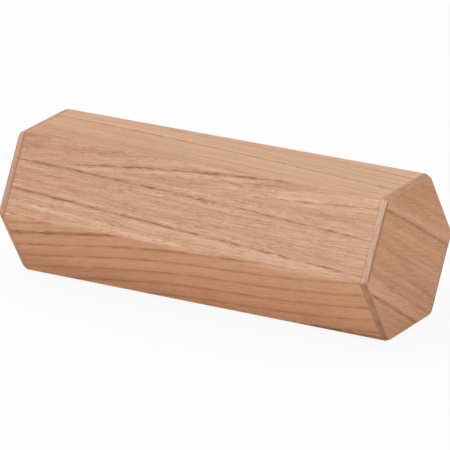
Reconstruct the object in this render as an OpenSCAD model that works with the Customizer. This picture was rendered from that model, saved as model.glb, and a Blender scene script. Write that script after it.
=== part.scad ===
// Ganza shaker: a six-sided wooden tube that lies on one of its flats, with loose steel shot inside.
// The tube is six mitred staves, and a three-ply plate is glued flush over each end.
// X runs along the tube, -Y is the front, Z is up, and the origin is under the middle of the tube.
// All lengths are in millimetres.

/* [Tube] */
// Overall length, over both end plates
length = 200; // [160:1:300]
// Width of each of the six sides, measured to the sharp corners
side_w = 40; // [34:1:60]
// Thickness of the staves
wall_t = 6; // [3:0.5:9]
// Radius of the six long edges
edge_r = 2.5; // [1.5:0.1:5]

/* [End plates] */
// Thickness of the outer and inner veneer of an end plate
veneer_t = 0.4; // [0.3:0.1:1.2]
// Thickness of the core ply of an end plate
core_t = 2.4; // [1:0.1:5]
// How far the edge of an end plate is eased in at its outer face
ease_in = 0.9; // [0.3:0.1:1.4]
// How far the corners of an end plate are cut back at its outer face, from the tube's sharp corners
corner_in = 1.7; // [0.5:0.1:3]

/* [Shot] */
// Diameter of a ball
shot_d = 4; // [3:0.1:5.5]
// Balls in each lengthwise row
balls_per_row = 28; // [8:2:32]
// Clearance round a ball: to the wood and to its neighbours
shot_clear = 0.3; // [0.2:0.05:0.6]
// Largest further gap between two balls of a row at rest
stray_gap = 1; // [0:0.1:1.5]
// How far the rows lie off the middle at rest, as a part of their free run
row_scatter = 0.5; // [0:0.05:0.9]

/* [Hidden] */

// The tube has six sides, so each stave turns a sixth of a circle on from the last
sides = 6;
side_turn = 360 / sides;
half_turn = side_turn / 2;

// Distance from the tube's axis to the outer and inner faces
apothem = side_w / 2 / tan(half_turn);
inner_apothem = apothem - wall_t;
inner_side_w = 2 * inner_apothem * tan(half_turn);

// Distance from the axis to the middle of a long edge's rounding, and where the rounding meets the flat
edge_centre = (apothem - edge_r) / cos(half_turn);
flat_half_w = (apothem - edge_r) * tan(half_turn);

plate_t = 2 * veneer_t + core_t;
tube_len = length - 2 * plate_t;

// The edge of an end plate is eased over its whole thickness, by an arc that leaves the staves smoothly
ease_r = (plate_t * plate_t + ease_in * ease_in) / (2 * ease_in);

// The rows of shot lie side by side on the cavity's floor, the outer ones clear of the sloping walls
row_count = 6;
shot_r = shot_d / 2;
row_inset = (shot_r + shot_clear) * tan(half_turn);
row_pitch = (inner_side_w - 2 * row_inset) / (row_count - 1);
ball_z = wall_t + shot_clear + shot_r;

// Turn from ball to ball and from row to row that makes the spacing irregular
stray_turn = 137.5;
row_turn = 61;

stave_tone = [0.80, 0.63, 0.52];
veneer_tone = [0.73, 0.55, 0.43];
core_tone = [0.82, 0.67, 0.58];
steel_tone = [0.76, 0.77, 0.79];

round_fn = 48;
corner_fn = 240;

function row_y(row) = (row - (row_count + 1) / 2) * row_pitch;
function gap_after(row, i) = shot_clear + stray_gap * (1 + sin(stray_turn * i + row_turn * row)) / 2;
function run_to(row, i) = i == 0 ? 0 : run_to(row, i - 1) + shot_d + gap_after(row, i - 1);
function row_len(row) = run_to(row, balls_per_row - 1) + shot_d;
function free_run(row) = tube_len - row_len(row) - 2 * shot_clear;
function row_shift(row) = row_scatter * free_run(row) / 2 * sin(stray_turn * row);
function ball_x(row, i) = row_shift(row) - row_len(row) / 2 + shot_r + run_to(row, i);

// Draws a section of the tube, centred on the tube's axis, and extrudes it along X from x = start
module along_tube(start, run) {
    translate([start, 0, apothem])
        rotate([90, 0, 90])
            linear_extrude(run) children();
}

// Outline of the tube: a hexagon on its flat with rounded corners
module tube_outline() {
    polygon([
        for (k = [0 : sides - 1], end = [-1, 1])
            let (turn = k * side_turn)
                [apothem * sin(turn) + end * flat_half_w * cos(turn),
                 -apothem * cos(turn) + end * flat_half_w * sin(turn)]
    ]);
    for (k = [0 : sides - 1])
        rotate(k * side_turn + half_turn)
            translate([0, -edge_centre]) circle(edge_r, $fn = round_fn);
}

// Section of the bottom stave: its two mitred sides lie on planes through the tube's axis
module stave_section() {
    intersection() {
        polygon([
            [-side_w / 2, -apothem],
            [side_w / 2, -apothem],
            [inner_side_w / 2, -inner_apothem],
            [-inner_side_w / 2, -inner_apothem]
        ]);
        tube_outline();
    }
}

module stave(place) {
    color(stave_tone)
        along_tube(-tube_len / 2, tube_len)
            rotate(place * side_turn) stave_section();
}

module bottom_stave() { stave(0); }
module lower_back_stave() { stave(1); }
module upper_back_stave() { stave(2); }
module top_stave() { stave(3); }
module upper_front_stave() { stave(4); }
module lower_front_stave() { stave(5); }

// Eased edge of an end plate in section, on a sheet that goes on to the left of it and below it
module eased_edge() {
    translate([apothem - ease_r, 0]) {
        circle(ease_r, $fn = round_fn);
        translate([-2 * side_w, -ease_r]) square([2 * side_w, 2 * ease_r]);
    }
}

// Section through an end plate from flat to flat, with both edges eased; its outer face is up
module plate_section() {
    intersection() {
        translate([-side_w, 0]) square([2 * side_w, plate_t]);
        eased_edge();
        mirror([1, 0]) eased_edge();
    }
}

// Right end plate, whole: the tube's outline, eased on all six sides and cut back at its corners by a cone
module plate_blank() {
    translate([length / 2 - plate_t, 0, apothem])
        rotate([90, 0, 90])
            intersection() {
                linear_extrude(plate_t) tube_outline();
                intersection_for (k = [0 : sides / 2 - 1])
                    rotate(k * side_turn)
                        rotate([90, 0, -90])
                            linear_extrude(2 * side_w, center = true) plate_section();
                cylinder(plate_t, side_w, side_w - corner_in, $fn = corner_fn);
            }
}

// One ply of the right end plate, cut from the whole plate between two depths below its outer face
module ply(top, bottom, tone) {
    color(tone)
        intersection() {
            plate_blank();
            translate([length / 2 - bottom, -side_w, apothem - side_w])
                cube([bottom - top, 2 * side_w, 2 * side_w]);
        }
}

module right_face_veneer() { ply(0, veneer_t, veneer_tone); }
module right_core_ply() { ply(veneer_t, veneer_t + core_t, core_tone); }
module right_back_veneer() { ply(veneer_t + core_t, plate_t, veneer_tone); }
module left_face_veneer() { mirror([1, 0, 0]) right_face_veneer(); }
module left_core_ply() { mirror([1, 0, 0]) right_core_ply(); }
module left_back_veneer() { mirror([1, 0, 0]) right_back_veneer(); }

// Every second ball of a row, from the first ball given
module shot(row, first) {
    color(steel_tone)
        for (i = [first : 2 : balls_per_row - 1])
            translate([ball_x(row, i), row_y(row), ball_z]) sphere(shot_r, $fn = round_fn);
}

// The balls of a row that stay on the floor, and those that are thrown across the tube
module shot_row(row) { shot(row, 0); }
module tossed_shot(row) { shot(row, 1); }

bottom_stave();
lower_back_stave();
upper_back_stave();
top_stave();
upper_front_stave();
lower_front_stave();
right_face_veneer();
right_core_ply();
right_back_veneer();
left_face_veneer();
left_core_ply();
left_back_veneer();
shot_row(1);  // shot_row_1
shot_row(2);  // shot_row_2
shot_row(3);  // shot_row_3
shot_row(4);  // shot_row_4
shot_row(5);  // shot_row_5
shot_row(6);  // shot_row_6
tossed_shot(1);  // tossed_shot_1
tossed_shot(2);  // tossed_shot_2
tossed_shot(3);  // tossed_shot_3
tossed_shot(4);  // tossed_shot_4
tossed_shot(5);  // tossed_shot_5
tossed_shot(6);  // tossed_shot_6
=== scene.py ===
"""Ganza shaker: a six-sided tube of mitred wooden staves with three-ply end plates and steel shot inside."""

import math
from dataclasses import dataclass, field, replace

import bmesh
import bpy
from mathutils import Matrix, Vector


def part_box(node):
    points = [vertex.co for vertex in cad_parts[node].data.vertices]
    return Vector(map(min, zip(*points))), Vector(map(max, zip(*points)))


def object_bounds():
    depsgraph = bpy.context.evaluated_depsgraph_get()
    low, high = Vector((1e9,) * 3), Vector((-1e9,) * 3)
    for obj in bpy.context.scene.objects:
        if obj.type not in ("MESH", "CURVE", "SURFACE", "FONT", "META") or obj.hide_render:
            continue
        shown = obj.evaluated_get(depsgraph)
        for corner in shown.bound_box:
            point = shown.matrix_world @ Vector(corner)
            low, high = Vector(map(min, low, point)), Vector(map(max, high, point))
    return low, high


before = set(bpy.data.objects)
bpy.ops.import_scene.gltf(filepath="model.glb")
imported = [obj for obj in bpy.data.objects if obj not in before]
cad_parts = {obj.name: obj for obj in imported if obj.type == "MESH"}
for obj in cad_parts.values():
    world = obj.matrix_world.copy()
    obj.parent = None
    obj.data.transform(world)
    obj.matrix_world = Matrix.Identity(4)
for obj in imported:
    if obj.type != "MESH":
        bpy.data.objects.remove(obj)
cad_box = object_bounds()

# Sizes of the tube, taken from the frame
MM = 0.001
TUBE_CENTRE = (cad_box[0] + cad_box[1]) / 2
APOTHEM = (cad_box[1].z - cad_box[0].z) / 2
APOTHEM_MM = APOTHEM / MM
STAVE_END_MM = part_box("top_stave")[1].x / MM
RIM_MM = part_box("right_face_veneer")[1].z / MM - APOTHEM_MM
SIDE_TURN = math.radians(60)
ALONG_TUBE = Vector((1.0, 0.0, 0.0))

WHITE = (1.0, 1.0, 1.0, 1.0)


def linear(red, green, blue):
    """A colour given in display values from 0 to 255, as the linear RGBA that shaders take."""
    def channel(value):
        part = value / 255
        return part / 12.92 if part <= 0.04045 else ((part + 0.055) / 1.055) ** 2.4
    return (channel(red), channel(green), channel(blue), 1.0)


@dataclass
class Pattern:
    """A noise pattern, with grains of a length and a width in millimetres.

    One with no width runs along a line. The shift sets a pattern apart from the others of its board. Its
    mark comes in over a span of the noise, and runs between the two values that it gives. Its swing goes
    half its reach to each side of 0.
    """
    length: float
    width: float = 0.0
    shift: float = 0.0
    detail: float = 1.0
    roughness: float = 0.5
    span: tuple = (0.3, 0.7)
    gives: tuple = (0.0, 1.0)
    reach: float = 1.0


# On a Mix node, the inputs that are mixed and the output, for values and for colours
MIX_SOCKETS = {"FLOAT": (2, 3, 0), "RGBA": (6, 7, 2)}


class Wiring:
    """Adds nodes to one tree. Inputs are numbers, tuples or the sockets of other nodes."""

    def __init__(self, tree):
        self.tree = tree

    def put(self, socket, value):
        """Links an input to another node's socket, or sets its value."""
        if isinstance(value, bpy.types.NodeSocket):
            self.tree.links.new(value, socket)
        else:
            socket.default_value = value

    def node(self, kind, inputs=(), **settings):
        made = self.tree.nodes.new(kind)
        for name, value in settings.items():
            setattr(made, name, value)
        for key, value in dict(inputs).items():
            self.put(made.inputs[key], value)
        return made

    def math(self, operation, *values):
        return self.node("ShaderNodeMath", enumerate(values), operation=operation).outputs[0]

    def chain(self, operation, first, others):
        for other in others:
            first = self.math(operation, first, other)
        return first

    def add(self, first, *others):
        return self.chain("ADD", first, others)

    def times(self, first, *others):
        return self.chain("MULTIPLY", first, others)

    def largest(self, first, *others):
        return self.chain("MAXIMUM", first, others)

    def less(self, a, b):
        return self.math("SUBTRACT", a, b)

    def over(self, a, b):
        return self.math("DIVIDE", a, b)

    def size(self, value):
        return self.math("ABSOLUTE", value)

    def ramp(self, value, low, high, to_low=0.0, to_high=1.0):
        """Runs smoothly from to_low to to_high as value goes from low to high."""
        inputs = {"Value": value, "From Min": low, "From Max": high, "To Min": to_low, "To Max": to_high}
        return self.node("ShaderNodeMapRange", inputs, interpolation_type="SMOOTHSTEP").outputs["Result"]

    def fall(self, value, low, high, top=1.0):
        """Runs smoothly from top down to 0 as value goes from low to high."""
        return self.ramp(value, low, high, top, 0.0)

    def stretch(self, x, start, stop, fade):
        """1 from start to stop, fading out over a length at both ends."""
        fade_in = self.ramp(x, start, self.add(start, fade))
        fade_out = self.fall(x, self.less(stop, fade), stop)
        return self.times(fade_in, fade_out)

    def split(self, vector):
        made = self.node("ShaderNodeSeparateXYZ", {"Vector": vector})
        return made.outputs["X"], made.outputs["Y"], made.outputs["Z"]

    def noise(self, pattern, seed, x, y=None):
        """Noise from 0 to 1 with a pattern's grains, over x and y or along x alone."""
        along = self.over(x, pattern.length)
        apart = self.add(seed, pattern.shift)
        inputs = {"Scale": 1.0, "Detail": pattern.detail, "Roughness": pattern.roughness}
        if y is None:
            inputs["W"] = self.add(along, apart)
            return self.node("ShaderNodeTexNoise", inputs, noise_dimensions="1D").outputs["Fac"]
        place = {"X": along, "Y": self.over(y, pattern.width), "Z": apart}
        inputs["Vector"] = self.node("ShaderNodeCombineXYZ", place).outputs[0]
        return self.node("ShaderNodeTexNoise", inputs).outputs["Fac"]

    def shown(self, pattern, noise):
        """The mark that a pattern makes of a noise."""
        return self.ramp(noise, *pattern.span, *pattern.gives)

    def mark(self, pattern, seed, x, y=None):
        """The mark that a pattern makes of its own noise."""
        return self.shown(pattern, self.noise(pattern, seed, x, y))

    def swing(self, pattern, seed, x, y=None):
        """A pattern's noise as a swing to both sides of 0."""
        return self.times(self.less(self.noise(pattern, seed, x, y), 0.5), pattern.reach)

    def mixed(self, kind, share, a, b):
        first, second, result = MIX_SOCKETS[kind]
        return self.node("ShaderNodeMix", {0: share, first: a, second: b}, data_type=kind).outputs[result]

    def mix(self, share, a, b):
        """Value a, turned into value b by the share given."""
        return self.mixed("FLOAT", share, a, b)

    def blend(self, share, a, b):
        """Colour a, turned into colour b by the share given."""
        return self.mixed("RGBA", share, a, b)

    def colours(self, value, *stops):
        """A colour from evenly spaced stops, as value goes from 0 to 1."""
        made = self.node("ShaderNodeValToRGB", {"Fac": value})
        elements = made.color_ramp.elements
        while len(elements) < len(stops):
            elements.new(0.5)
        for number, stop in enumerate(stops):
            elements[number].position = number / (len(stops) - 1)
            elements[number].color = stop
        return made.outputs["Color"]

    def group(self, tree, **inputs):
        """Places a node group and gives its outputs. An input such as Ring Width is named ring_width."""
        made = self.node("ShaderNodeGroup", node_tree=tree)
        for name, value in inputs.items():
            self.put(made.inputs[name.replace("_", " ").title()], value)
        return made.outputs


def node_group(name, inputs, outputs):
    """A new shader node group: its tree, its wiring, what it is given and its results.

    inputs maps names to default values.
    """
    tree = bpy.data.node_groups.new(name, "ShaderNodeTree")
    for label, value in inputs.items():
        kind = "NodeSocketVector" if isinstance(value, tuple) else "NodeSocketFloat"
        tree.interface.new_socket(label, in_out="INPUT", socket_type=kind).default_value = value
    for label in outputs:
        tree.interface.new_socket(label, in_out="OUTPUT", socket_type="NodeSocketFloat")
    given = tree.nodes.new("NodeGroupInput").outputs
    result = tree.nodes.new("NodeGroupOutput").inputs
    return tree, Wiring(tree), given, result


# Marks that are drawn in a board's line colour, and those that make its colour paler and darker
LINE_MARKS = ("Veins", "Pores", "Rings")
TONE_MARKS = ("Tone", "Streaks", "Fibre")
GRAIN_MARKS = LINE_MARKS + TONE_MARKS

# How the grain strays from its course
WANDER = Pattern(38.0, 16.0, reach=2.0)
SHAKE = Pattern(5.0, 3.0, shift=3.1, detail=2.0, reach=0.3)

# Pores are short dashes at a slant to the grain. They thicken just before a ring's line, a distance in
# millimetres, and thin out over a part of the ring's width
PORES = Pattern(5.0, 0.45, shift=30.0, span=(0.6, 0.74))
PORE_PATCHES = Pattern(26.0, 5.0, shift=28.0, reach=0.25)
PORES_THICKEN = -0.5
PORES_THIN_OUT = 0.5
MOST_PORES = 0.04
FEWEST_PORES = -0.02

# Rings are of uneven strength, by their number, and their lines are broken and dashed
RING_STRENGTH = Pattern(0.37, 1.0, shift=7.7, detail=0.0, gives=(0.55, 1.0))
RING_BREAKS = Pattern(9.0, 0.21, shift=9.0, detail=2.0, span=(0.3, 0.6), gives=(0.45, 1.0))
RING_DASHES = replace(PORES, span=(0.35, 0.6), gives=(0.5, 1.0))

# A line is full in this part of its width. A ring also has a soft side, which comes in at its line and goes
# out over a part of the ring's width
LINE_CORE = 0.15
SOFT_START = (-0.4, 0.1)
SOFT_WIDTH = 0.3
SOFT_DEPTH = 0.25

# Veins are long and thin, and streaks, fibres with their flecks, and tones are pale and dark alike
VEINS = Pattern(80.0, 0.9, shift=60.0, detail=2.0, roughness=0.6, span=(0.52, 0.7))
STREAKS = Pattern(110.0, 2.6, shift=20.0, roughness=0.6)
FLECKS = Pattern(1.4, 0.7, shift=70.0, reach=0.5)
FIBRES = Pattern(14.0, 0.65, shift=50.0, detail=2.0, roughness=0.6, span=(0.25, 0.75))
TONES = Pattern(160.0, 8.0, shift=40.0)


def make_board_grain():
    """Growth rings, pores and streaks of a board, on a plane in millimetres: X along it and Y across it."""
    tree, w, given, result = node_group(
        "board_grain",
        {
            "Place": (0.0, 0.0, 0.0),
            "Slant": 0.05,
            "Slope": 0.0,
            "Bow": 0.0,
            "Fan": 0.0,
            "Wave": 0.0,
            "Wave Length": 115.0,
            "Wave Shift": 0.0,
            "Wander": 0.6,
            "Ring Width": 8.0,
            "Ring Shift": 0.0,
            "Line Width": 0.55,
            "Seed": 0.0,
        },
        GRAIN_MARKS,
    )
    x, y, _ = w.split(given["Place"])
    seed = given["Seed"]
    # Straighten the grain, so that the rings lie along lines of equal distance across it
    turn = w.over(w.times(w.less(x, given["Wave Shift"]), math.tau), given["Wave Length"])
    course = w.add(
        w.times(x, given["Slope"]),
        w.times(x, x, given["Bow"]),
        w.times(w.math("SINE", turn), given["Wave"]),
    )
    across = w.over(w.less(y, course), w.add(1.0, w.times(x, given["Fan"])))
    across = w.add(across, w.times(w.swing(WANDER, seed, x, across), given["Wander"]))
    shaken = w.add(across, w.swing(SHAKE, seed, x, across))
    slanted = w.less(shaken, w.times(x, given["Slant"]))
    dashes = w.noise(PORES, seed, x, slanted)
    # One dark line for each ring, with a softer side
    ring_count = w.over(w.less(shaken, given["Ring Shift"]), given["Ring Width"])
    ring = w.math("ROUND", ring_count)
    offset = w.times(w.less(ring_count, ring), given["Ring Width"])
    line = w.fall(w.size(offset), w.times(given["Line Width"], LINE_CORE), given["Line Width"])
    soft_side = w.fall(offset, 0.0, w.times(given["Ring Width"], SOFT_WIDTH))
    soft = w.times(soft_side, w.ramp(offset, *SOFT_START))
    strength = w.mark(RING_STRENGTH, 0.0, ring, seed)
    broken = w.mark(RING_BREAKS, seed, x, ring)
    dashed = w.shown(RING_DASHES, dashes)
    rings = w.times(w.add(w.times(line, broken, dashed), w.times(soft, SOFT_DEPTH)), strength)
    thin_out = w.times(given["Ring Width"], PORES_THIN_OUT)
    thick = w.ramp(offset, PORES_THICKEN, thin_out, MOST_PORES, FEWEST_PORES)
    pores = w.shown(PORES, w.add(dashes, thick, w.swing(PORE_PATCHES, seed, x, across)))
    veins = w.mark(VEINS, seed, x, shaken)
    streaks = w.mark(STREAKS, seed, x, shaken)
    flecks = w.swing(FLECKS, seed, x, slanted)
    fibre = w.shown(FIBRES, w.add(w.noise(FIBRES, seed, x, slanted), flecks))
    tone = w.mark(TONES, seed, x, across)
    for name, value in zip(GRAIN_MARKS, (veins, pores, rings, tone, streaks, fibre)):
        w.put(result[name], value)
    return tree


# A growth line shakes, swells, breaks off and is dashed
LINE_SHAKE = Pattern(9.0, detail=2.0, reach=0.5)
LINE_SWELL = Pattern(11.0, shift=40.0, gives=(0.6, 1.4))
LINE_BREAKS = Pattern(14.0, shift=80.0, detail=2.0, span=(0.3, 0.6), gives=(0.5, 1.0))
LINE_DASHES = Pattern(4.0, 0.6, span=(0.32, 0.6), gives=(0.3, 1.0))

# How far from the line its pale rim comes in and goes out again
RIM_INSIDE = (0.8, 1.6)
RIM_OUTSIDE = (2.0, 3.5)

# Lengths over which the ends of lines and bands fade
LINE_FADE = 12.0
BAND_FADE = 40.0


def make_grain_line():
    """One growth line of short dashes that runs a given course over a board, and the pale rim beside it.

    Lengths are in millimetres.
    """
    tree, w, given, result = node_group(
        "grain_line",
        {
            "Place": (0.0, 0.0, 0.0),
            "Height": 0.0,
            "Slope": 0.0,
            "Bow": 0.0,
            "Start": -110.0,
            "Stop": 110.0,
            "Width": 0.7,
            "Seed": 0.0,
        },
        ("Line", "Rim"),
    )
    x, y, _ = w.split(given["Place"])
    seed = given["Seed"]
    course = w.add(
        given["Height"],
        w.times(x, given["Slope"]),
        w.times(x, x, given["Bow"]),
        w.swing(LINE_SHAKE, seed, x),
    )
    away = w.size(w.less(y, course))
    width = w.times(given["Width"], w.mark(LINE_SWELL, seed, x))
    core = w.fall(away, w.times(width, LINE_CORE), width)
    rim = w.times(w.ramp(away, *RIM_INSIDE), w.fall(away, *RIM_OUTSIDE))
    dashed = w.mark(LINE_DASHES, seed, x, y)
    broken = w.mark(LINE_BREAKS, seed, x)
    strength = w.times(broken, w.stretch(x, given["Start"], given["Stop"], LINE_FADE))
    w.put(result["Line"], w.times(core, dashed, strength))
    w.put(result["Rim"], w.times(rim, strength))
    return tree


def make_tone_band():
    """A broad soft band that runs a given course over a board, in millimetres."""
    tree, w, given, result = node_group(
        "tone_band",
        {
            "Place": (0.0, 0.0, 0.0),
            "Height": 0.0,
            "Slope": 0.0,
            "Start": -160.0,
            "Stop": 160.0,
            "Width": 4.0,
        },
        ("Band",),
    )
    x, y, _ = w.split(given["Place"])
    away = w.size(w.less(y, w.add(given["Height"], w.times(x, given["Slope"]))))
    across = w.fall(away, 0.0, given["Width"])
    w.put(result["Band"], w.times(across, w.stretch(x, given["Start"], given["Stop"], BAND_FADE)))
    return tree


# Half the width over which one side of a plate's edge passes into the next at a corner, in millimetres
CORNER_BLEND = 0.5


def make_plate_edge():
    """Where a point lies on an end plate, in millimetres from its middle with Y up.

    Reach is the distance to the point's own side of the hexagon. The core's fibres run along two of the six
    sides, and End Grain is 1 on the other four, where they are cut across.
    """
    tree, w, given, result = node_group("plate_edge", {"Place": (0.0, 0.0, 0.0)}, ("Reach", "End Grain"))
    level, up, _ = w.split(given["Place"])
    rise = w.times(up, math.cos(SIDE_TURN))
    run = w.times(level, math.sin(SIDE_TURN))
    cut_across = w.largest(w.size(up), w.size(w.add(rise, run)))
    along = w.size(w.less(rise, run))
    w.put(result["Reach"], w.largest(cut_across, along))
    w.put(result["End Grain"], w.ramp(w.less(cut_across, along), -CORNER_BLEND, CORNER_BLEND))
    return tree


BOARD_GRAIN = make_board_grain()
GRAIN_LINE = make_grain_line()
TONE_BAND = make_tone_band()
PLATE_EDGE = make_plate_edge()

# Lengths over which a board's tone rises by its drift and its lean, in millimetres. On a stave the drift is
# painted light, a steady change of brightness along it, and the lean is painted shade that darkens the lower
# stave towards its bottom edge. On a core ply the drift darkens the wood along its fibres, towards the top
# of the plate.
DRIFT_RUN = 100.0
LEAN_RUN = 20.0


@dataclass
class Board:
    """The look of one board: its colours, how strongly its marks show, and the course of its grain.

    Lines are its growth lines, each with a course and a depth, in the deep colour if the board has one.
    Bands are paler or darker stretches, each with a course and a tone. The tone also rises by drift in each
    DRIFT_RUN along the board, and by lean in each LEAN_RUN across it: on a stave the drift is painted light,
    a steady change of brightness along it, and the lean is painted shade that darkens the lower stave
    towards its bottom edge. The joints say how dark its two ends are. A flame is a second course of grain,
    which the board has above a given height.
    """
    pale: tuple
    mid: tuple
    dark: tuple
    line: tuple
    marks: dict
    grain: dict
    lines: list = field(default_factory=list)
    bands: list = field(default_factory=list)
    # On a stave the drift is painted light along it, and the lean is painted shade across it
    tone_and_light_drift: float = 0.0
    painted_shade_lean: float = 0.0
    left_joint: float = 0.12
    right_joint: float = 0.06
    deep: tuple = None
    flame: dict = None
    flame_height: float = 0.0


# Tone of a board's middle colour, and half the height over which its flame comes in, in millimetres
MID_TONE = 0.5
FLAME_BLEND = 1.5

# Each growth line of a board has its own seed, and a rim that is paler by this much of its depth
LINE_SEED_STEP = 133.7
RIM_TONE = 0.12

# Faces are sanded smoother than edges, and grooves are rougher by this much
FACE_ROUGHNESS = 0.48
EDGE_ROUGHNESS = 0.55
GROOVE_ROUGHNESS = 0.2

# Relief of the wood: pores and lines are grooves, rings are shallower ones, and fibres stand up a little
GROOVE_DEPTH = 0.06 * MM
GROOVE_STRENGTH = 0.5
RING_GROOVE = 0.6
FIBRE_RELIEF = 0.3


def new_material(name):
    made = bpy.data.materials.new(name)
    made.use_nodes = True
    return made, Wiring(made.node_tree), made.node_tree.nodes["Principled BSDF"]


def dress(node, material):
    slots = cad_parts[node].data.materials
    slots.clear()
    slots.append(material)


def board_place(w, along, across, origin):
    """Millimetres on a board, from a point on its face: X along it, Y across it and Z out of the face."""
    turn = Matrix((along, across, along.cross(across)))
    where = w.node("ShaderNodeTexCoord").outputs["Object"]
    placed = w.node("ShaderNodeMapping", {"Vector": where, "Scale": (1 / MM,) * 3})
    placed.inputs["Rotation"].default_value = turn.to_euler()
    placed.inputs["Location"].default_value = -(turn @ origin) / MM
    return placed.outputs["Vector"]


def board_marks(w, place, board):
    """The marks of a board's grain, with its flame where it has one."""
    marks = w.group(BOARD_GRAIN, place=place, **board.grain)
    if board.flame is None:
        return marks
    flame = w.group(BOARD_GRAIN, place=place, **board.flame)
    height = w.split(place)[1]
    above = w.ramp(height, board.flame_height - FLAME_BLEND, board.flame_height + FLAME_BLEND)
    return {name: w.mix(above, marks[name], flame[name]) for name in GRAIN_MARKS}


def wood_surface(w, shader, place, board, roughness=FACE_ROUGHNESS):
    """Sets a wooden surface's roughness and its pores' small grooves, and gives its colour."""
    x, y, _ = w.split(place)
    marks = board_marks(w, place, board)
    # The middle tone, with painted light along a stave and painted shade across the lower stave
    tone = w.add(MID_TONE, w.times(x, board.tone_and_light_drift / DRIFT_RUN), w.times(y, board.painted_shade_lean / LEAN_RUN))
    lines = 0.0
    for number, (course, depth) in enumerate(board.lines):
        seed = board.grain["seed"] + number * LINE_SEED_STEP
        drawn = w.group(GRAIN_LINE, place=place, seed=seed, **course)
        lines = w.largest(lines, w.times(drawn["Line"], depth))
        tone = w.add(tone, w.times(drawn["Rim"], depth * RIM_TONE))
    for course, change in board.bands:
        tone = w.add(tone, w.times(w.group(TONE_BAND, place=place, **course)["Band"], change))
    for name in TONE_MARKS:
        tone = w.add(tone, w.times(w.less(marks[name], MID_TONE), board.marks[name]))
    colour = w.colours(tone, linear(*board.dark), linear(*board.mid), linear(*board.pale))
    for name in LINE_MARKS:
        colour = w.blend(w.times(marks[name], board.marks[name]), colour, linear(*board.line))
    colour = w.blend(lines, colour, linear(*(board.deep or board.line)))
    grooves = w.largest(marks["Pores"], w.times(marks["Rings"], RING_GROOVE), lines)
    sunk = w.less(grooves, marks["Fibre"])
    w.put(shader.inputs["Roughness"], w.ramp(sunk, -1.0, 1.0, roughness, roughness + GROOVE_ROUGHNESS))
    bump = w.node("ShaderNodeBump", {"Strength": GROOVE_STRENGTH, "Distance": GROOVE_DEPTH})
    w.put(bump.inputs["Height"], w.less(w.times(marks["Fibre"], FIBRE_RELIEF), grooves))
    w.put(shader.inputs["Normal"], bump.outputs["Normal"])
    return colour


# How dark a mitre is, and how far from a stave's glued joints the darkening fades, in millimetres
MITRE_DEPTH = 0.14
MITRE_FADE = (0.0, 0.3)
LEFT_FADE = (0.2, 1.4)
RIGHT_FADE = (0.0, 1.1)


def stave_seams(w, place, board):
    """Darkening where a stave is glued to its neighbours and to the end plates."""
    x, y, z = w.split(place)
    half_turn = SIDE_TURN / 2
    depth = w.times(w.add(z, APOTHEM_MM), math.sin(half_turn))
    from_mitre = w.less(depth, w.times(w.size(y), math.cos(half_turn)))
    left = w.fall(w.add(x, STAVE_END_MM), *LEFT_FADE, board.left_joint)
    right = w.fall(w.less(STAVE_END_MM, x), *RIGHT_FADE, board.right_joint)
    return w.largest(w.fall(from_mitre, *MITRE_FADE, MITRE_DEPTH), left, right)


def dress_stave(node, sixths, board):
    """Dresses the stave that is this many sixths of a turn round from the top one."""
    turn = Matrix.Rotation(sixths * SIDE_TURN, 3, "X")
    across = turn @ Vector((0.0, 1.0, 0.0))
    out = turn @ Vector((0.0, 0.0, 1.0))
    made, w, shader = new_material(node + "_wood")
    place = board_place(w, ALONG_TUBE, across, TUBE_CENTRE + out * APOTHEM)
    colour = wood_surface(w, shader, place, board)
    colour = w.blend(stave_seams(w, place, board), colour, linear(*board.line))
    w.put(shader.inputs["Base Color"], colour)
    dress(node, made)


# The drift of each stave is painted light, a steady change of brightness along it
TOP_BOARD = Board(
    pale=(225, 181, 146), mid=(206, 158, 122), dark=(179, 129, 94), line=(165, 110, 70),
    marks={"Tone": 0.14, "Streaks": 0.24, "Fibre": 0.26, "Pores": 0.28, "Veins": 0.13, "Rings": 0.2},
    grain={"slope": -0.082, "bow": -0.0002, "ring_width": 13.0, "ring_shift": 3.0, "seed": 1.0},
    tone_and_light_drift=0.06,
    left_joint=0.16,
    right_joint=0.13,
    lines=[
        ({"height": 3.2, "slope": -0.088, "bow": -0.0003, "width": 0.9}, 1.0),
        ({"height": -9.8, "slope": -0.06, "start": -80.0}, 0.48),
        ({"height": 14.5, "slope": -0.03, "start": -45.0, "stop": 55.0, "width": 0.9}, 0.34),
        ({"height": -25.5, "slope": -0.1, "stop": -68.0, "width": 1.2}, 0.8),
        ({"height": 18.0, "slope": -0.08, "start": 60.0}, 0.75),
        ({"height": 10.5, "slope": -0.065, "start": 62.0}, 0.54),
    ],
    bands=[
        ({"height": -16.6, "slope": -0.07, "width": 8.0, "stop": 60.0}, -0.2),
        ({"height": -18.0, "start": 30.0}, 0.15),
        ({"height": -19.5, "stop": -55.0, "width": 3.5}, -0.45),
    ],
)
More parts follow.
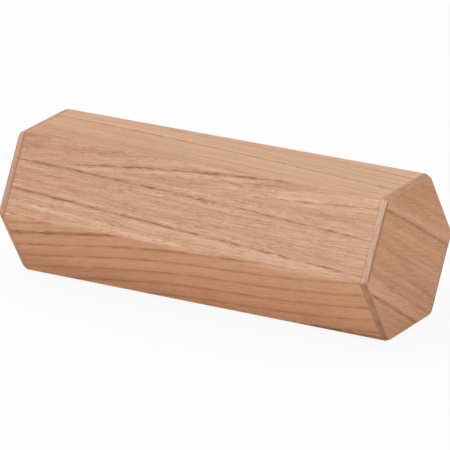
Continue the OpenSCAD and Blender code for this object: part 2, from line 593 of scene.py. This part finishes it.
FRONT_BOARD = Board(
    pale=(226, 185, 155), mid=(202, 153, 122), dark=(173, 121, 86), line=(138, 89, 50),
    marks={"Tone": 0.18, "Streaks": 0.27, "Fibre": 0.4, "Pores": 0.45, "Veins": 0.2, "Rings": 0.15},
    grain={"slope": -0.05, "ring_width": 9.0, "ring_shift": 1.0, "seed": 2.0, "wander": 0.8, "slant": 0.08},
    flame={
        "slope": 0.09, "bow": -0.0002, "ring_width": 7.0, "ring_shift": 2.0, "seed": 12.0, "wander": 0.8,
        "slant": -0.03,
    },
    flame_height=8.5,
    tone_and_light_drift=0.1,
    left_joint=0.6,
    right_joint=0.12,
    lines=[
        ({"height": 4.5, "slope": -0.04, "bow": -0.0001, "width": 0.8, "stop": 15.0}, 1.0),
        ({"height": 4.5, "slope": -0.04, "bow": -0.0001, "width": 0.8, "start": 0.0}, 0.8),
        ({"height": -11.7, "slope": -0.054, "width": 0.8, "stop": 25.0}, 0.95),
        ({"height": -11.7, "slope": -0.054, "width": 0.8, "start": 10.0}, 0.85),
        ({"height": 16.3, "slope": 0.08, "bow": -0.0004, "start": -72.0, "stop": 54.0}, 1.0),
        ({"height": 7.0, "slope": 0.081, "start": 26.0}, 0.65),
        ({"height": 15.5, "width": 2.2, "start": -100.0, "stop": -76.0}, 0.3),
        ({"height": 7.5, "width": 2.0, "start": 60.0, "stop": 94.0}, 0.35),
        ({"height": -26.0, "slope": -0.08, "stop": -74.0}, 0.7),
        ({"height": 17.0, "slope": -0.14, "start": 2.0, "stop": 38.0, "width": 0.6}, 0.5),
        ({"height": 11.0, "slope": -0.18, "start": -32.0, "stop": 8.0, "width": 0.6}, 0.4),
    ],
    bands=[
        ({"height": 11.5, "slope": 0.08, "start": -10.0, "width": 2.2}, 0.17),
        ({"height": 13.2, "slope": 0.07, "start": -85.0, "stop": 0.0, "width": 2.5}, -0.15),
        ({"height": 3.5, "slope": -0.01, "start": 25.0, "width": 3.0}, -0.16),
        ({"height": -17.5, "start": 25.0, "width": 2.5}, -0.16),
        ({"height": 0.0, "slope": -0.03, "stop": -5.0, "width": 7.0}, -0.08),
        ({"height": -18.5, "start": -80.0}, 0.2),
        ({"height": -3.0, "start": -10.0}, 0.15),
        ({"height": 2.5, "stop": -20.0}, -0.1),
        ({"height": -14.0, "stop": 5.0, "width": 2.8}, 0.18),
        ({"height": -8.0, "stop": -35.0, "width": 2.5}, -0.15),
        ({"height": -19.0, "stop": 20.0, "width": 3.0}, 0.15),
    ],
)
LOWER_BOARD = Board(
    pale=(222, 174, 138), mid=(211, 151, 108), dark=(187, 123, 85), line=(166, 95, 44),
    deep=(138, 86, 52),
    marks={"Tone": 0.1, "Streaks": 0.18, "Fibre": 0.33, "Pores": 0.3, "Veins": 0.1, "Rings": 0.95},
    grain={
        "slope": 0.1385, "fan": 0.0005, "wave": 2.0, "wave_length": 176.0, "wave_shift": -64.0,
        "ring_width": 8.1, "ring_shift": -1.0, "line_width": 1.5, "wander": 0.25, "seed": 3.0,
    },
    tone_and_light_drift=0.06,
    # Painted shade, darker towards the bottom edge
    painted_shade_lean=0.1,
    left_joint=0.16,
    right_joint=0.65,
    lines=[
        ({"height": 27.0, "slope": 0.195, "width": 1.6, "stop": -30.0}, 0.95),
        ({"height": -20.0, "slope": 0.018, "width": 1.8, "start": 45.0}, 0.95),
    ],
    bands=[
        # The first and third bands are a painted highlight along the rounded edge that this stave shares
        # with the front one
        ({"height": 20.5}, 0.35),
        ({"height": 19.0, "start": -100.0, "stop": 15.0, "width": 2.5}, -0.22),
        ({"height": 19.3, "start": -15.0, "stop": 70.0, "width": 2.2}, 0.45),
        ({"height": -12.0, "width": 10.0, "stop": -10.0}, -0.25),
        ({"height": -20.0, "start": -90.0, "stop": 5.0, "width": 4.0}, 0.3),
    ],
)
BOTTOM_BOARD = Board(
    pale=(224, 176, 140), mid=(205, 154, 117), dark=(178, 126, 90), line=(160, 104, 63),
    marks={"Tone": 0.12, "Streaks": 0.22, "Fibre": 0.3, "Pores": 0.38, "Veins": 0.19, "Rings": 0.45},
    grain={
        "slope": 0.04, "bow": 0.0003, "ring_width": 9.0, "ring_shift": 2.0, "line_width": 0.9, "seed": 4.0,
    },
    tone_and_light_drift=-0.06,
    lines=[({"height": -2.5, "slope": 0.04, "bow": 0.0003, "width": 0.9}, 0.8)],
)
LOWER_BACK_BOARD = Board(
    pale=(222, 172, 134), mid=(203, 150, 112), dark=(178, 124, 87), line=(160, 100, 57),
    marks={"Tone": 0.12, "Streaks": 0.2, "Fibre": 0.28, "Pores": 0.36, "Veins": 0.15, "Rings": 0.8},
    grain={
        "slope": -0.07, "fan": -0.002, "ring_width": 6.5, "ring_shift": 1.0, "line_width": 1.0, "seed": 5.0,
    },
    tone_and_light_drift=0.05,
    bands=[({"height": 12.0, "slope": -0.06, "width": 6.0}, 0.15)],
)
UPPER_BACK_BOARD = Board(
    pale=(225, 184, 152), mid=(204, 157, 124), dark=(176, 127, 94), line=(140, 92, 54),
    marks={"Tone": 0.12, "Streaks": 0.22, "Fibre": 0.32, "Pores": 0.35, "Veins": 0.15, "Rings": 0.2},
    grain={"slope": 0.06, "ring_width": 10.0, "ring_shift": 3.0, "seed": 6.0, "wander": 0.8},
    tone_and_light_drift=0.06,
    lines=[
        ({"height": 6.0, "slope": 0.055, "bow": 0.0001, "width": 0.8}, 0.9),
        ({"height": -9.0, "slope": 0.07, "bow": -0.0001, "width": 0.8}, 0.8),
        ({"height": 16.0, "slope": 0.04, "start": -30.0}, 0.5),
    ],
    bands=[
        ({"height": -14.0, "slope": 0.06, "width": 5.0}, 0.15),
        ({"height": 1.0, "slope": 0.06, "width": 5.0, "start": -40.0}, -0.12),
    ],
)
# The boards in order round the tube
STAVES = {
    "top_stave": TOP_BOARD,
    "upper_front_stave": FRONT_BOARD,
    "lower_front_stave": LOWER_BOARD,
    "bottom_stave": BOTTOM_BOARD,
    "lower_back_stave": LOWER_BACK_BOARD,
    "upper_back_stave": UPPER_BACK_BOARD,
}

RIGHT_VENEER = Board(
    pale=(226, 172, 133), mid=(209, 149, 106), dark=(184, 124, 84), line=(160, 98, 57),
    marks={"Tone": 0.2, "Streaks": 0.22, "Fibre": 0.32, "Pores": 0.32, "Veins": 0.13, "Rings": 0.07},
    grain={"ring_width": 12.5, "ring_shift": 2.5, "seed": 7.0, "wander": 1.2, "slant": 0.15},
    lines=[
        ({"height": 14.7, "bow": -0.0004, "width": 1.0}, 1.0),
        ({"height": -24.9, "slope": -0.03, "width": 1.2}, 1.0),
        ({"height": -17.4, "slope": -0.03, "start": -22.0, "width": 1.5}, 0.65),
        ({"height": -9.3, "slope": -0.06, "start": -2.0, "width": 1.2}, 0.52),
    ],
    bands=[
        ({"height": 29.0, "width": 10.0}, -0.15),
        ({"height": 17.5, "slope": 0.02, "width": 2.8}, 0.2),
        ({"height": 12.3, "width": 2.6}, -0.12),
        ({"height": 7.8, "width": 2.6, "stop": 40.0}, 0.15),
        ({"height": 3.5, "width": 2.0}, 0.12),
        ({"height": -3.0, "slope": -0.09, "width": 4.0, "stop": 30.0}, -0.2),
        ({"height": -5.5, "slope": -0.2, "width": 3.5, "start": -30.0, "stop": 60.0}, -0.17),
        ({"height": -13.5, "slope": -0.05, "width": 5.0, "start": -40.0}, -0.14),
        ({"height": -20.8, "width": 2.8, "stop": 15.0}, 0.2),
        ({"height": -30.0, "width": 7.0}, -0.25),
    ],
)
LEFT_VENEER = Board(
    pale=(224, 172, 132), mid=(207, 150, 109), dark=(180, 126, 88), line=(158, 98, 57),
    marks={"Tone": 0.2, "Streaks": 0.22, "Fibre": 0.28, "Pores": 0.28, "Veins": 0.13, "Rings": 0.2},
    grain={"slope": 0.05, "bow": 0.002, "ring_width": 9.5, "ring_shift": 1.0, "seed": 8.0, "slant": -0.1},
    lines=[
        ({"height": -6.0, "slope": 0.06, "bow": 0.002, "width": 1.0}, 0.9),
        ({"height": 17.5, "slope": 0.04, "bow": 0.001}, 0.8),
        ({"height": -21.0, "slope": 0.07, "bow": 0.002, "width": 1.2}, 0.65),
    ],
    bands=[
        ({"height": 21.0, "slope": 0.04, "width": 4.0}, 0.2),
        ({"height": 6.0, "slope": 0.05, "width": 8.0}, -0.15),
        ({"height": -16.0, "slope": 0.07, "width": 4.0}, -0.2),
    ],
)
RIGHT_CORE = Board(
    pale=(226, 189, 166), mid=(214, 174, 150), dark=(194, 151, 125), line=(150, 106, 78),
    marks={"Tone": 0.3, "Streaks": 0.5, "Fibre": 0.5, "Pores": 0.25, "Veins": 0.2, "Rings": 0.15},
    grain={"seed": 9.0},
    tone_and_light_drift=-1.0,
)
LEFT_CORE = replace(RIGHT_CORE, pale=(210, 167, 141), mid=(196, 151, 124), dark=(176, 130, 103))

# The edge of a back veneer is mostly of one tone
RIGHT_BACK_TONE = (190, 153, 132)
LEFT_BACK_TONE = (184, 122, 86)
BACK_TONE_SHARE = 0.75

# The core's fibres cross those of its veneers
VENEER_ANGLE = math.radians(-32)
CORE_ANGLE = VENEER_ANGLE + math.pi / 2

# The arris of a face veneer comes in between two distances from the rim, and is narrower and paler where the
# core's fibres are cut across. Its dark colour is partly the veneer's own darker edge and partly painted
# shade of the rounded arris.
ARRIS_START = RIM_MM - 1.4
ARRIS_STOP = RIM_MM - 0.6
ARRIS_SHARE = 0.8
PALE_NARROWER = 0.5
PALE_SHARE = 0.8
# Dark partly from the veneer's own edge and partly as painted shade of the rounded arris
DARK_ARRIS = (152, 106, 78)
PALE_ARRIS = (203, 154, 119)

# Fibres that are cut across are patchy in tone, and browner from the staves outwards
CUT_PALE = (190, 142, 104)
CUT_DARK = (151, 103, 68)
CUT_PATCHES = Pattern(7.0, 7.0, shift=5.0, detail=2.0, gives=(-0.3, 0.3))
CUT_RUN = 1.3
CUT_SHARES = (0.72, 0.88)

# Thin lines of glue and pressed wood show in a plate's edge, less so above the middle of the tube
LAMINATE_LINE = (156, 108, 78)
LAMINATE_LAYERS = Pattern(15.0, 0.4, shift=3.0, detail=2.0, span=(0.48, 0.66))
LAMINATE_HEIGHTS = (2.0, 14.0)
LAMINATE_SHARES = (0.6, 0.4)


def plate_place(w, grain_angle):
    """Millimetres on an end plate, from the tube's middle: X along the wood's grain, Y across it."""
    along = Vector((0.0, math.cos(grain_angle), math.sin(grain_angle)))
    across = Vector((0.0, -math.sin(grain_angle), math.cos(grain_angle)))
    return board_place(w, along, across, TUBE_CENTRE)


def arris_colour_and_shade(w, colour):
    """The arris of a face veneer: dark along the core's fibres, partly its own darker edge and partly
    painted shade of the rounding, and narrower and paler on other sides.
    """
    edge = w.group(PLATE_EDGE, place=plate_place(w, 0.0))
    reach = w.less(edge["Reach"], w.times(edge["End Grain"], PALE_NARROWER))
    arris = w.ramp(reach, ARRIS_START, ARRIS_STOP, 0.0, ARRIS_SHARE)
    pale_side = w.times(edge["End Grain"], PALE_SHARE)
    return w.blend(arris, colour, w.blend(pale_side, linear(*DARK_ARRIS), linear(*PALE_ARRIS)))


def cut_fibres(w, colour, upper_cut, lower_cut_and_shade):
    """A ply's edge, brown and patchy where the core's fibres are cut across.

    The cuts say how pale it is there, from 0 to 1, at the top and at the bottom of the plate. The darker
    bottom is partly the brown of the cut fibres and partly painted shade on the edges that face down.
    """
    place = plate_place(w, 0.0)
    level, up, along_tube = w.split(place)
    patches = w.mark(CUT_PATCHES, 0.0, level, up)
    # Darker towards the bottom, partly as painted shade
    tone = w.add(w.ramp(up, -APOTHEM_MM, APOTHEM_MM, lower_cut_and_shade, upper_cut), patches)
    cut = w.colours(tone, linear(*CUT_DARK), linear(*CUT_PALE))
    share = w.ramp(w.size(along_tube), STAVE_END_MM, STAVE_END_MM + CUT_RUN, *CUT_SHARES)
    colour = w.blend(w.times(w.group(PLATE_EDGE, place=place)["End Grain"], share), colour, cut)
    layers = w.mark(LAMINATE_LAYERS, 0.0, w.add(level, up), along_tube)
    shown = w.ramp(up, *LAMINATE_HEIGHTS, *LAMINATE_SHARES)
    return w.blend(w.times(layers, shown), colour, linear(*LAMINATE_LINE))


def dress_plate(side, veneer, core, back_tone, upper_cut, lower_cut_and_shade):
    """Dresses the three plies of one end plate, with cut fibres that are as pale as the cuts say."""
    made, w, shader = new_material(side + "_veneer_wood")
    colour = wood_surface(w, shader, plate_place(w, VENEER_ANGLE), veneer)
    w.put(shader.inputs["Base Color"], arris_colour_and_shade(w, colour))
    dress(side + "_face_veneer", made)

    made, w, shader = new_material(side + "_core_wood")
    colour = wood_surface(w, shader, plate_place(w, CORE_ANGLE), core, EDGE_ROUGHNESS)
    w.put(shader.inputs["Base Color"], cut_fibres(w, colour, upper_cut, lower_cut_and_shade))
    dress(side + "_core_ply", made)

    made, w, shader = new_material(side + "_back_veneer_wood")
    colour = wood_surface(w, shader, plate_place(w, VENEER_ANGLE), veneer, EDGE_ROUGHNESS)
    colour = w.blend(BACK_TONE_SHARE, colour, linear(*back_tone))
    w.put(shader.inputs["Base Color"], cut_fibres(w, colour, upper_cut, lower_cut_and_shade))
    dress(side + "_back_veneer", made)


# The shot's steel, with fine scuffs that are this many to a metre
STEEL_DARK = (176, 177, 180)
STEEL_PALE = (206, 207, 210)
SCUFFS_PER_METRE = 900.0
SCUFF_DETAIL = 4.0
SCUFF_SPAN = (0.3, 0.7)
SCUFF_ROUGHNESS = (0.18, 0.34)


def dress_shot():
    made, w, shader = new_material("polished_steel")
    where = w.node("ShaderNodeTexCoord").outputs["Object"]
    inputs = {"Vector": where, "Scale": SCUFFS_PER_METRE, "Detail": SCUFF_DETAIL}
    scuffs = w.node("ShaderNodeTexNoise", inputs).outputs["Fac"]
    w.put(shader.inputs["Base Color"], w.blend(scuffs, linear(*STEEL_DARK), linear(*STEEL_PALE)))
    shader.inputs["Metallic"].default_value = 1.0
    w.put(shader.inputs["Roughness"], w.ramp(scuffs, *SCUFF_SPAN, *SCUFF_ROUGHNESS))
    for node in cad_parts:
        if "shot" in node:
            dress(node, made)


# The floor's reach each way in metres, its gap under the tube, and how much of it is plain white to look at
FLOOR_REACH = 6.0
FLOOR_GAP = 0.2 * MM
FLOOR_GREY = (0.88, 0.88, 0.88, 1.0)
FLOOR_ROUGHNESS = 0.9
FLOOR_WHITE_SHARE = 0.9


def direct_rays(w):
    """1 for the rays that show the surroundings themselves, in the view or mirrored in the object."""
    seen = w.node("ShaderNodeLightPath").outputs
    return w.largest(seen["Is Camera Ray"], seen["Is Glossy Ray"], seen["Is Transmission Ray"])


def lay_floor():
    """A pale floor that looks almost white, and keeps a faint shadow."""
    bm = bmesh.new()
    bmesh.ops.create_grid(bm, x_segments=1, y_segments=1, size=FLOOR_REACH)
    bmesh.ops.translate(bm, verts=bm.verts, vec=(0.0, 0.0, -FLOOR_GAP))
    mesh = bpy.data.meshes.new("floor")
    bm.to_mesh(mesh)
    bm.free()
    floor = bpy.data.objects.new("floor", mesh)
    bpy.context.scene.collection.objects.link(floor)
    made, w, shader = new_material("pale_floor")
    shader.inputs["Base Color"].default_value = FLOOR_GREY
    shader.inputs["Roughness"].default_value = FLOOR_ROUGHNESS
    white = w.node("ShaderNodeEmission", {"Color": WHITE, "Strength": 1.0}).outputs["Emission"]
    share = w.times(direct_rays(w), FLOOR_WHITE_SHARE)
    mixed = w.node("ShaderNodeMixShader", {0: share, 1: shader.outputs["BSDF"], 2: white})
    w.put(made.node_tree.nodes["Material Output"].inputs["Surface"], mixed.outputs[0])
    mesh.materials.append(made)


def light_room(level):
    """An even white room, plain white to look at, that lights the object at the level given."""
    world = bpy.data.worlds.new("white_room")
    bpy.context.scene.world = world
    world.use_nodes = True
    w = Wiring(world.node_tree)
    back = world.node_tree.nodes["Background"]
    back.inputs["Color"].default_value = WHITE
    w.put(back.inputs["Strength"], w.ramp(direct_rays(w), 0.0, 1.0, level, 1.0))


def soft_lamp(name, towards, distance, size, power):
    """A round lamp that shines on the middle of the tube, from a direction and a distance."""
    lamp = bpy.data.lights.new(name, "AREA")
    lamp.shape = "DISK"
    lamp.size = size
    lamp.energy = power
    made = bpy.data.objects.new(name, lamp)
    away = Vector(towards).normalized()
    made.location = TUBE_CENTRE + away * distance
    made.rotation_euler = away.to_track_quat("Z", "Y").to_euler()
    bpy.context.scene.collection.objects.link(made)


# The photograph's view of the tube's middle, in metres, with the lens and sensor in millimetres
VIEW_AZIMUTH = math.radians(31.768)
VIEW_ELEVATION = math.radians(19.839)
VIEW_ROLL = math.radians(-1.076)
VIEW_DISTANCE = 2.4552
VIEW_ASIDE = 0.00073
VIEW_ABOVE = -0.00122
VIEW_LENS = 420.69
SENSOR_WIDTH = 36.0


def photo_camera():
    """The photograph's view: a long lens, slightly rolled, from the right and above."""
    level = Vector((math.cos(VIEW_AZIMUTH), math.sin(VIEW_AZIMUTH), 0.0))
    ahead = Vector((-math.sin(VIEW_AZIMUTH), math.cos(VIEW_AZIMUTH), 0.0))
    back = Vector((0.0, 0.0, math.sin(VIEW_ELEVATION))) - ahead * math.cos(VIEW_ELEVATION)
    right = Matrix.Rotation(VIEW_ROLL, 3, back) @ level
    up = back.cross(right)
    data = bpy.data.cameras.new("photo_camera")
    data.sensor_width = SENSOR_WIDTH
    data.lens = VIEW_LENS
    camera = bpy.data.objects.new("photo_camera", data)
    place = TUBE_CENTRE + back * VIEW_DISTANCE + right * VIEW_ASIDE + up * VIEW_ABOVE
    camera.matrix_world = Matrix.Translation(place) @ Matrix((right, up, back)).transposed().to_4x4()
    bpy.context.scene.collection.objects.link(camera)
    bpy.context.scene.camera = camera


for sixths, (stave, board) in enumerate(STAVES.items()):
    dress_stave(stave, sixths, board)
# Each plate's edges are darker towards the bottom, partly as painted shade on those that face down
dress_plate("right", RIGHT_VENEER, RIGHT_CORE, RIGHT_BACK_TONE, upper_cut=0.72, lower_cut_and_shade=0.15)
dress_plate("left", LEFT_VENEER, LEFT_CORE, LEFT_BACK_TONE, upper_cut=0.9, lower_cut_and_shade=0.8)
dress_shot()
lay_floor()
light_room(level=0.72)
soft_lamp("key_lamp", towards=(-0.35, -0.4, 0.85), distance=1.6, size=1.2, power=9.0)
photo_camera()
bpy.context.scene.view_settings.view_transform = "Standard"
